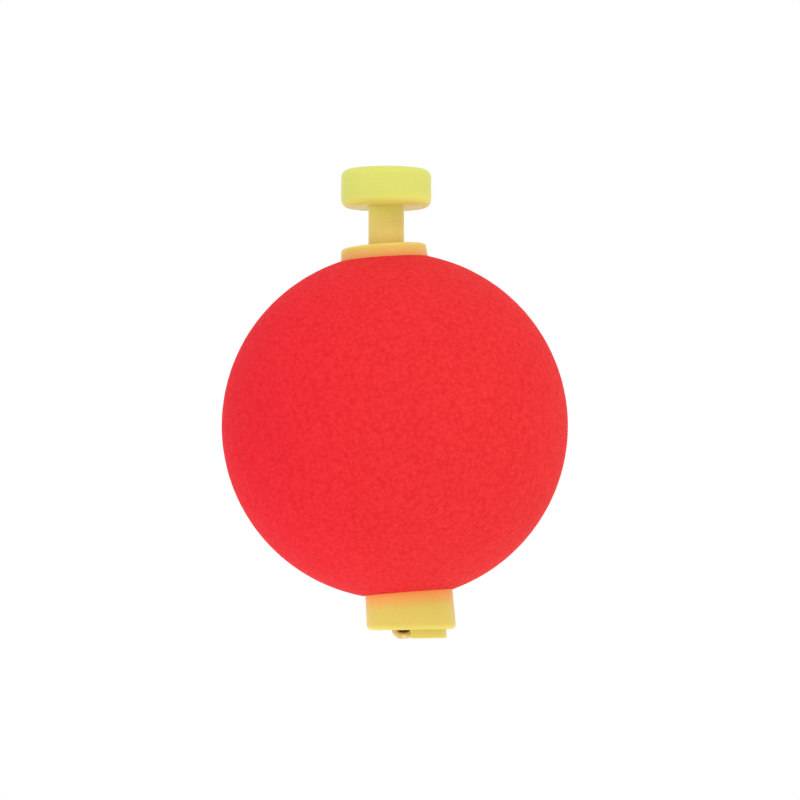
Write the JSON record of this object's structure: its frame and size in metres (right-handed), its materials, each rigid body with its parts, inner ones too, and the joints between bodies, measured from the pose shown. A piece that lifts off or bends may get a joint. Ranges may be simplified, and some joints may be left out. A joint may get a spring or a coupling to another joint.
{
  "type": "clip-on bobber float",
  "caption": "Round foam fishing float on a plastic tube, with a sprung push button on top and a brass wire hook below that clips onto the line.",
  "frame": {"origin": "on the tube's axis, level with the foam ball's centre, where the float sits in the water", "axes": "+Z along the tube from the hook to the push button; the hook opens towards -X and the loose button leans towards +X"},
  "size_m": [0.0381, 0.0382, 0.0523],
  "materials": {
    "foam_red": "painted foam, fine bead texture, matt",
    "tube_natural": "natural plastic",
    "collar_yellow": "moulded, satin",
    "button_yellow": "moulded, satin",
    "hook_brass": "drawn wire, slightly dulled",
    "spring_steel": "drawn wire"
  },
  "bodies": {
    "float": {"foam_ball": "foam_red", "center_tube": "tube_natural", "upper_collar": "collar_yellow", "lower_collar": "collar_yellow", "return_spring": "spring_steel"},
    "plunger": {"push_button": "button_yellow", "line_hook": "hook_brass"}
  },
  "joints": [
    {"name": "button_press", "type": "slide", "parent": "float", "child": "plunger", "axis": [0, 0, -1], "range_m": [0, 0.0037], "stiffness_N_per_m": 600, "springref_m": -0.002, "deforming": ["return_spring"]}
  ]
}
